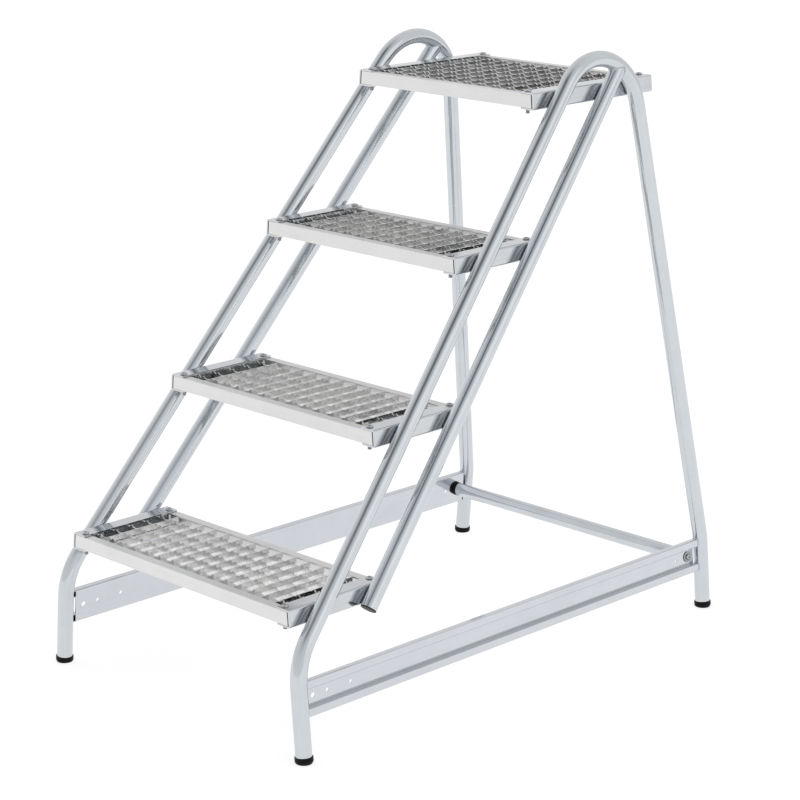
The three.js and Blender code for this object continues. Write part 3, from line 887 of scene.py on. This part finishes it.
def make_rail(side_name, side):
    outline = rail_outline()
    rings = []
    for y in (FRONT_LEG, REAR_LEG):
        rings.append([frame_point(side, u, y, v) for u, v in outline])
    rail = loft(f"folded_rail_{side_name}", rings)
    outward = frame_outward(side)
    cutters = [stile_envelope(side)]
    for leg, inward in ((FRONT_LEG, 1), (REAR_LEG, -1)):
        cutters.append(web_end_cutter(side, leg, inward))
        holes = [(CROSS_HOLE_OFFSET, CROSS_HOLE_RADIUS)]
        holes += [(offset, FIXING_HOLE_RADIUS) for offset in FIXING_HOLE_OFFSETS]
        for offset, radius in holes:
            centre = frame_point(side, RAIL_INNER + 1, leg + inward * offset, RAIL_CENTRE)
            cutters.append(rod_cutter(centre, outward, radius, 3))
    cut(rail, cutters)
    finish_piece(rail, RAIL_ZINC, [f"base_rail_{side_name}"], edge=0.25)
    for end_name, leg, inward in (("front", FRONT_LEG, 1), ("rear", REAR_LEG, -1)):
        make_rail_welds(side_name, side, end_name, leg, inward)


def web_end_cutter(side, leg, inward):
    """Clears the web beside a leg, between the two boxed lips."""
    beyond = RAIL_INNER - 1.5
    within = RAIL_INNER + RAIL_SHEET + 0.1
    low = RAIL_CENTRE - RAIL_HEIGHT / 2 + RAIL_SHEET
    high = RAIL_CENTRE + RAIL_HEIGHT / 2 - RAIL_SHEET
    rings = []
    for y in (leg - inward, leg + inward * RAIL_WEB_SETBACK):
        ring = []
        for u, v in ((beyond, low), (within, low), (within, high), (beyond, high)):
            ring.append(frame_point(side, u, y, v))
        rings.append(ring)
    return loft("cutter", rings)


def make_rail_welds(side_name, side, end_name, leg, inward):
    """Short runs where a rail's lips and flanges butt against the leg."""
    reach = math.sqrt(TUBE_RADIUS ** 2 - RAIL_OUTER ** 2)
    high = RAIL_CENTRE + RAIL_HEIGHT / 2
    low = RAIL_CENTRE - RAIL_HEIGHT / 2
    y = leg + inward * (reach + 0.2)
    normal = (frame_outward(side) + Vector((0, inward, 0))).normalized()
    runs = (("top", high - RAIL_LIP + 2, high - 1), ("foot", low + 1, low + RAIL_LIP - 2))
    for tag, start, end in runs:
        first = frame_point(side, RAIL_OUTER, y, start)
        path = evenly(first, frame_point(side, RAIL_OUTER, y, end))
        weld_bead(f"rail_weld_{tag}_{end_name}_{side_name}", path, [normal] * len(path), RAIL_WELD)
    crown = []
    crown_steps = 27
    for step in range(crown_steps + 1):
        u = RAIL_INNER + (RAIL_OUTER - RAIL_INNER) * step / crown_steps
        crown.append(frame_point(side, u, leg + inward * math.sqrt(TUBE_RADIUS ** 2 - u * u), high))
    upward = Vector((0, inward, 1)).normalized()
    weld_bead(f"rail_weld_crown_{end_name}_{side_name}", crown, [upward] * len(crown), CROWN_WELD)


# ---------------------------------------------------------------- rear cross tube


def web_inner_x():
    return LEG_HALF_SPREAD - RAIL_CENTRE * SIN_LEAN + RAIL_INNER * COS_LEAN


CROSS_TUBE_Z = RAIL_CENTRE * COS_LEAN + RAIL_INNER * SIN_LEAN
CROSS_TUBE_HALF = web_inner_x() - COLLAR_LENGTH


def make_cross_tube():
    rings = {}
    for radius in (CROSS_TUBE_RADIUS, CROSS_TUBE_RADIUS - TUBE_WALL):
        rings[radius] = []
        for share in (-1, -0.5, 0, 0.5, 1):
            ring = []
            for y, z in circle(radius, TUBE_SIDES):
                ring.append(Vector((share * CROSS_TUBE_HALF, CROSS_TUBE_Y + y, CROSS_TUBE_Z + z)))
            rings[radius].append(ring)
    outer, inner = rings.values()
    tube = hollow_tube("plain_cross_tube", outer, inner)
    finish_piece(tube, TUBE_ZINC, ["rear_cross_tube"])


def make_collar(side_name, side):
    """The collar's outer face leans with the rail web, so each ring is sheared to match."""
    profile = [
        (CROSS_BOLT_BORE, -COLLAR_STEM, 0),
        (COLLAR_STEM_RADIUS - 1.3, -COLLAR_STEM, 0),
        (COLLAR_STEM_RADIUS, 1.5 - COLLAR_STEM, 0),
        (COLLAR_STEM_RADIUS, CLEARANCE, 0),
        (COLLAR_RADIUS - 0.5, CLEARANCE, 0),
        (COLLAR_RADIUS, CLEARANCE + 0.6, 0),
        (COLLAR_RADIUS, COLLAR_LENGTH - 0.9, 1),
        (COLLAR_RADIUS - 0.5, COLLAR_LENGTH - CLEARANCE, 1),
        (CROSS_BOLT_BORE, COLLAR_LENGTH - CLEARANCE, 1),
    ]
    rings = []
    for radius, travel, leaning in profile:
        ring = []
        for y, z in circle(radius, ROUND_SIDES):
            shear = -z * TAN_LEAN * leaning
            x = side * (CROSS_TUBE_HALF + travel + shear)
            ring.append(Vector((x, CROSS_TUBE_Y + y, CROSS_TUBE_Z + z)))
        rings.append(ring)
    collar = loft(f"tube_end_collar_{side_name}", rings, joined_ends=True)
    finish_piece(collar, BLACK_PLASTIC, [f"cross_tube_collar_{side_name}"])


def outward_rings(side, profile):
    """Rings on the cross bolt's axis, square to the leaning rail web."""
    rings = []
    for ring_points, u in profile:
        ring = []
        for y, v in ring_points:
            ring.append(frame_point(side, u, CROSS_TUBE_Y + y, RAIL_CENTRE + v))
        rings.append(ring)
    return rings


def make_cross_fixing(side_name, side):
    sides = ROUND_SIDES
    seat = RAIL_INNER + RAIL_SHEET + CLEARANCE
    face = seat + WASHER_THICKNESS
    washer_profile = [
        (circle(CROSS_BOLT_BORE, sides), seat),
        (circle(WASHER_RADIUS - 0.3, sides), seat),
        (circle(WASHER_RADIUS, sides), seat + 0.3),
        (circle(WASHER_RADIUS, sides), face - 0.4),
        (circle(WASHER_RADIUS - 0.4, sides), face),
        (circle(CROSS_BOLT_BORE, sides), face),
    ]
    rings = outward_rings(side, washer_profile)
    washer = loft(f"plain_washer_{side_name}", rings, joined_ends=True)
    # the washer's dark tone is painted shade round the cross bolt
    finish_piece(washer, WASHER_PAINTED_SHADE_ZINC, [f"cross_washer_{side_name}"])
    base = face + CLEARANCE
    profile = [
        (circle(0, sides), base - CROSS_BOLT_LENGTH),
        (circle(CROSS_BOLT_RADIUS - 0.6, sides), base - CROSS_BOLT_LENGTH),
        (circle(CROSS_BOLT_RADIUS, sides), base - CROSS_BOLT_LENGTH + 0.8),
        (circle(CROSS_BOLT_RADIUS, sides), base),
        (circle(5.0, sides), base),
        (circle(5.2, sides), base + 0.5),
        (circle(5.1, sides), base + 1.4),
        (circle(4.5, sides), base + 2.5),
        (circle(3.6, sides), base + 3.1),
        (circle(3.2, sides), base + 3.2),
        (hexagon(2.1, sides), base + 3.2),
        (hexagon(1.95, sides), base + 3.0),
        (hexagon(1.95, sides), base + 1.3),
        (circle(0, sides), base + 1.1),
    ]
    bolt = loft(f"button_bolt_{side_name}", outward_rings(side, profile), capped=False)
    finish_piece(bolt, BOLT_ZINC, [f"cross_bolt_{side_name}"])


# ---------------------------------------------------------------- treads and platform


def outer_half_width(z):
    return LEG_HALF_SPREAD - z * TAN_LEAN - (TUBE_RADIUS + CLEARANCE) / COS_LEAN


def web_inner_half_width(z):
    return outer_half_width(z) - CHANNEL_SHEET / COS_LEAN


def level_top(row):
    return FIRST_TREAD_HEIGHT + RISE * row["level"]


def level_front(row):
    return FIRST_TREAD_FRONT + RUN * row["level"]


def bolt_x(row):
    return outer_half_width(level_top(row)) - BOLT_REACH


def bolt_ys(row):
    front = level_front(row)
    return {"front": front + BOLT_INSET, "rear": front + row["depth"] - BOLT_INSET}


def bolt_cutter(x, y, top):
    centre = (x, y, top - CHANNEL_HEIGHT / 2)
    return rod_cutter(centre, (0, 0, 1), BOLT_RADIUS + CLEARANCE, CHANNEL_HEIGHT, 24)


def make_channel(row, side_name, side):
    top = level_top(row)
    half = CHANNEL_SHEET / 2
    upper = top - half
    lower = top - CHANNEL_HEIGHT + half
    inset = half / COS_LEAN
    middle_line = [
        (outer_half_width(top) - CHANNEL_FLANGE, upper),
        (outer_half_width(upper) - inset, upper),
        (outer_half_width(lower) - inset, lower),
        (outer_half_width(lower) - CHANNEL_FLANGE, lower),
    ]
    outline = folded_sheet(middle_line, CHANNEL_SHEET, CHANNEL_BEND)
    front = level_front(row)
    rings = []
    for y in (front, front + row["depth"]):
        rings.append([Vector((side * x, y, z)) for x, z in outline])
    name = f"{row['name']}_end_channel_{side_name}"
    channel = loft(name, rings)
    cut(channel, [bolt_cutter(side * bolt_x(row), y, top) for y in bolt_ys(row).values()])
    node = f"{row['name']}_channel_{side_name}"
    finish_piece(channel, CHANNEL_ZINC, [node], edge=0.2)


def leaning_panel(top, bottom, end_gap, y):
    """Four corners across the tread, whose ends lean with the channels' webs."""
    high = web_inner_half_width(top) - end_gap
    low = web_inner_half_width(bottom) - end_gap
    corners = ((-low, bottom), (low, bottom), (high, top), (-high, top))
    return [Vector((x, y, z)) for x, z in corners]


def make_edge_bar(row, end_name, inward):
    """A folded angle with a tab at each end, open below and toward the grating."""
    top = level_top(row) - CHANNEL_SHEET - CLEARANCE
    bottom = level_top(row) - CHANNEL_HEIGHT + CHANNEL_SHEET + CLEARANCE
    face = level_front(row) if inward > 0 else level_front(row) + row["depth"]
    gap = EDGE_BAR_END_GAP
    rim = face + inward * EDGE_BAR_WIDTH
    bar = loft(
        f"{row['name']}_{end_name}_edge",
        [leaning_panel(top, bottom, gap, face), leaning_panel(top, bottom, gap, rim)],
    )
    run_grain_across(bar)
    inner_top = top - EDGE_BAR_SHEET
    inner_gap = gap + EDGE_BAR_SHEET
    inner_ys = (face + inward * EDGE_BAR_SHEET, rim + inward)
    inside = loft("cutter", [leaning_panel(inner_top, bottom - 1, inner_gap, y) for y in inner_ys])
    y = bolt_ys(row)[end_name]
    cut(bar, [inside] + [bolt_cutter(side * bolt_x(row), y, level_top(row)) for side in (-1, 1)])
    node = f"{row['name']}_{end_name}_bar"
    finish_piece(bar, EDGE_BAR_ZINC, [node], edge=0.15)
    # black strips at both ends paint the shade in the slits beside the channels' webs
    for side_name, side in SIDES.items():
        make_slit_shade_strip(row, end_name, side_name, side, face, inward)


def make_slit_shade_strip(row, end_name, side_name, side, face, inward):
    """A black strip between an edge bar's end tab and the channel's web: painted shade for the deep
    slit there.
    """
    high = level_top(row) - CHANNEL_SHEET - 1.2
    low = level_top(row) - CHANNEL_HEIGHT + CHANNEL_SHEET + 1.0
    near = SLIT_SHADE_STRIP_CLEARANCE
    far = EDGE_BAR_END_GAP - SLIT_SHADE_STRIP_CLEARANCE
    rings = []
    for depth, shrink in ((0.3, 0.2), (0.6, 0.0), (12, 0.0), (12.4, 0.2)):
        ring = []
        for z, gap in ((low, near), (low, far), (high, far), (high, near)):
            towards_middle = shrink if gap == near else -shrink
            x = web_inner_half_width(z) - gap - towards_middle
            lift = shrink if z == low else -shrink
            ring.append(Vector((side * x, face + inward * depth, z + lift)))
        rings.append(ring)
    strip = loft(f"{row['name']}_packing_{end_name}_{side_name}", rings)
    finish_piece(strip, BLACK_PLASTIC)


def run_grain_across(piece):
    """Lays the rolling grain of a folded bar along the tread's width."""
    grain = piece.data.uv_layers["grain"].data
    for loop in piece.data.loops:
        place = piece.data.vertices[loop.vertex_index].co
        grain[loop.index].uv = (place.x, place.y + place.z)


def toothed_line(row, seat):
    """The top edge of a bearing bar: two teeth between each pair of cross bars."""
    limit = outer_half_width(level_top(row)) - CHANNEL_FLANGE - 1.5
    line = []
    for index in range(-1, row["cross_bars"]):
        crossing = (index - (row["cross_bars"] - 1) / 2) * PITCH
        for step in range(2 * TOOTH_STEPS + 1):
            x = crossing + TOOTH_LENGTH / 2 - TOOTH_SHIFT + (TOOTH_LENGTH * step) / TOOTH_STEPS
            height = TOOTH_RISE * (0.5 - 0.5 * math.cos(2 * math.pi * step / TOOTH_STEPS))
            if abs(x) < limit:
                line.append((x, seat + height - 0.1))
    return line


def make_grating(row):
    top = level_top(row) - CHANNEL_SHEET - 2 * CLEARANCE
    bottom = level_top(row) - CHANNEL_HEIGHT + CHANNEL_SHEET + CLEARANCE
    front = level_front(row)
    reach = web_inner_half_width(top) - 2
    half = BAR_THICKNESS / 2
    teeth = toothed_line(row, top)
    outline = [(-reach, bottom), (-reach, top), *teeth, (reach, top), (reach, bottom)]
    bars = []
    for index in range(row["bearing_bars"]):
        y = front + FIRST_BEARING_BAR + PITCH * index
        rings = [[Vector((x, side_y, z)) for x, z in outline] for side_y in (y - half, y + half)]
        bars.append(loft("bar", rings))
    start = front + EDGE_BAR_WIDTH + CLEARANCE
    end = front + row["depth"] - EDGE_BAR_WIDTH - CLEARANCE
    crest = top - CROSS_BAR_SINK
    bevel = CROSS_BAR_CHAMFER
    for index in range(row["cross_bars"]):
        x = (index - (row["cross_bars"] - 1) / 2) * PITCH
        corners = [
            (x - half, crest - CROSS_BAR_DEPTH),
            (x - half, crest - bevel),
            (x - half + bevel, crest),
            (x + half - bevel, crest),
            (x + half, crest - bevel),
            (x + half, crest - CROSS_BAR_DEPTH),
        ]
        rings = [[Vector((bar_x, y, z)) for bar_x, z in corners] for y in (start, end)]
        bars.append(loft("bar", rings))
    grating = join_objects(f"{row['name']}_toothed_grating", bars)
    finish_piece(grating, GRATING_ZINC, [f"{row['name']}_grating"], edge=0.2)


def make_tread_bolt(row, end_name, side_name, side):
    sides = BOLT_SIDES
    seat = level_top(row) + CLEARANCE
    tip = level_top(row) - CHANNEL_HEIGHT - BOLT_TAIL
    profile = [(circle(0, sides), tip), (circle(BOLT_RADIUS - 0.9, sides), tip)]
    for turn in range(THREAD_TURNS):
        crest = tip + 0.6 + THREAD_PITCH * turn
        profile.append((circle(BOLT_RADIUS, sides), crest))
        profile.append((circle(BOLT_RADIUS - THREAD_DEPTH, sides), crest + THREAD_PITCH / 2))
    profile += [
        (circle(BOLT_RADIUS, sides), tip + THREAD_PITCH * THREAD_TURNS + 1.2),
        (circle(BOLT_RADIUS, sides), seat),
        (circle(BOLT_HEAD_RADIUS - 0.2, sides), seat),
        (circle(BOLT_HEAD_RADIUS, sides), seat + 0.4),
        (circle(BOLT_HEAD_RADIUS - 0.1, sides), seat + 1.0),
        (circle(BOLT_HEAD_RADIUS * 0.88, sides), seat + 1.9),
        (circle(BOLT_HEAD_RADIUS * 0.72, sides), seat + 2.55),
        (circle(BOLT_HEAD_RADIUS * 0.6, sides), seat + BOLT_HEAD_HEIGHT),
        (hexagon(2.5, sides), seat + BOLT_HEAD_HEIGHT),
        (hexagon(2.3, sides), seat + BOLT_HEAD_HEIGHT - 0.25),
        (hexagon(2.3, sides), seat + 1.1),
        (circle(0, sides), seat + 0.8),
    ]
    x = side * bolt_x(row)
    y = bolt_ys(row)[end_name]
    rings = [[Vector((x + px, y + py, z)) for px, py in points] for points, z in profile]
    name = f"{row['name']}_button_bolt_{end_name}_{side_name}"
    bolt = loft(name, rings, capped=False)
    finish_piece(bolt, BOLT_ZINC, [f"{row['name']}_bolt_{end_name}_{side_name}"])


def make_channel_welds(row, side_name, side):
    """A short run of weld on each side of where the stile leans against the channel's web."""
    top = level_top(row)
    runs = (("upper", top - 9, top - 2), ("lower", top - 27, top - 20))
    stiles = (("stile", 0.0), ("inner", STILE_SPACING / math.cos(STILE_ANGLE)))
    steps = 16
    for tag, start_z, end_z in runs:
        for stile_name, shift in stiles:
            path = []
            for step in range(steps + 1):
                z = start_z + (end_z - start_z) * step / steps
                v = z / COS_LEAN
                y = FRONT_BEND[0] + (v - FRONT_BEND[1]) * math.tan(STILE_ANGLE) + shift
                path.append(frame_point(side, -TUBE_RADIUS + 0.9, y + 6.4, v + 1))
            outward = Vector((side * 0.4, 1, 0)).normalized()
            name = f"{row['name']}_{stile_name}_weld_{tag}_{side_name}"
            weld_bead(name, path, [outward] * len(path), CHANNEL_WELD)


# ---------------------------------------------------------------- assembly

for side_name, side in SIDES.items():
    make_stile(side_name, side)
    make_inner_stile(side_name, side)
    make_plug(side_name, side)
    make_rail(side_name, side)
    make_foot("front", side_name, side, FRONT_LEG)
    make_foot("rear", side_name, side, REAR_LEG)
    make_collar(side_name, side)
    make_cross_fixing(side_name, side)
make_cross_tube()

for row in LEVELS:
    for side_name, side in SIDES.items():
        make_channel(row, side_name, side)
        make_channel_welds(row, side_name, side)
        for end_name in ("front", "rear"):
            make_tread_bolt(row, end_name, side_name, side)
    make_edge_bar(row, "front", 1)
    make_edge_bar(row, "rear", -1)
    make_grating(row)

# ---------------------------------------------------------------- floor, light and camera


def make_floor():
    """A pale studio floor, lit from below as well as from above so that shadows stay faint."""
    size = 60
    data = bpy.data.meshes.new("studio_floor")
    corners = [(-size, -size, 0), (size, -size, 0), (size, size, 0), (-size, size, 0)]
    data.from_pydata(corners, [], [(0, 1, 2, 3)])
    floor = bpy.data.objects.new("studio_floor", data)
    bpy.context.scene.collection.objects.link(floor)
    material, tree, shader, coordinates = start_material("pale_floor")
    tone = noise(tree, coordinates.outputs["Object"], 3.0)
    tree.links.new(
        mix_color(tree, tone, (0.40, 0.40, 0.40), (0.42, 0.42, 0.42)), shader.inputs["Base Color"]
    )
    shader.inputs["Roughness"].default_value = 0.9
    shader.inputs["Specular IOR Level"].default_value = 0.0
    shader.inputs["Emission Color"].default_value = (1, 1, 1, 1)
    shader.inputs["Emission Strength"].default_value = FLOOR_GLOW
    data.materials.append(material)


def compass(azimuth, elevation):
    """A direction from its bearing, clockwise from the rear (+Y), and its height, in degrees."""
    bearing = math.radians(azimuth)
    height = math.radians(elevation)
    level = math.cos(height)
    return Vector((math.sin(bearing) * level, math.cos(bearing) * level, math.sin(height)))


def make_world():
    """An even pale surround with one dark, unlit zone high in front of the stand."""
    world = bpy.data.worlds.new("soft_studio")
    bpy.context.scene.world = world
    world.use_nodes = True
    tree = world.node_tree
    background = tree.nodes["Background"]
    coordinates = tree.nodes.new("ShaderNodeTexCoord")
    facing = tree.nodes.new("ShaderNodeVectorMath")
    facing.operation = "DOT_PRODUCT"
    tree.links.new(coordinates.outputs["Generated"], facing.inputs[0])
    facing.inputs[1].default_value = compass(*DARK_ZONE)
    spread = math_node(tree, "ARCCOSINE", facing.outputs["Value"])
    ramp = tree.nodes.new("ShaderNodeValToRGB")
    tree.links.new(map_range(tree, spread, 0, math.pi, 0, 1), ramp.inputs["Fac"])
    stops = ramp.color_ramp.elements
    stops.remove(stops[1])
    for index, (angle, level) in enumerate(DARK_ZONE_LEVELS):
        stop = stops[0] if index == 0 else stops.new(angle / 180)
        stop.position = angle / 180
        stop.color = (level, level, level * 1.01, 1)
    tree.links.new(ramp.outputs["Color"], background.inputs["Color"])
    background.inputs["Strength"].default_value = 1.0


def make_softbox(name, azimuth, elevation, distance, size, brightness):
    """A square softbox whose brightness is added to the surround behind it."""
    data = bpy.data.lights.new(name, "AREA")
    data.shape = "SQUARE"
    data.size = size
    data.energy = brightness * math.pi * size ** 2
    light = bpy.data.objects.new(name, data)
    middle = Vector((0, 0, 0.5))
    arm = compass(azimuth, elevation) * distance
    light.location = middle + arm
    light.rotation_euler = (-arm).to_track_quat("-Z", "Y").to_euler()
    bpy.context.scene.collection.objects.link(light)


def make_camera():
    data = bpy.data.cameras.new("camera")
    data.sensor_width = 36
    data.lens = CAMERA_LENS
    camera = bpy.data.objects.new("camera", data)
    place = Vector(CAMERA_PLACE)
    target = Vector(CAMERA_TARGET)
    turn = (target - place).to_track_quat("-Z", "Y").to_matrix().to_4x4()
    roll = Matrix.Rotation(CAMERA_ROLL, 4, "Z")
    camera.matrix_world = Matrix.Translation(place) @ turn @ roll
    bpy.context.scene.collection.objects.link(camera)
    bpy.context.scene.camera = camera


make_floor()
make_world()
for name, values in SOFTBOXES.items():
    make_softbox(name, *values)
make_camera()
bpy.context.scene.view_settings.view_transform = "Standard"
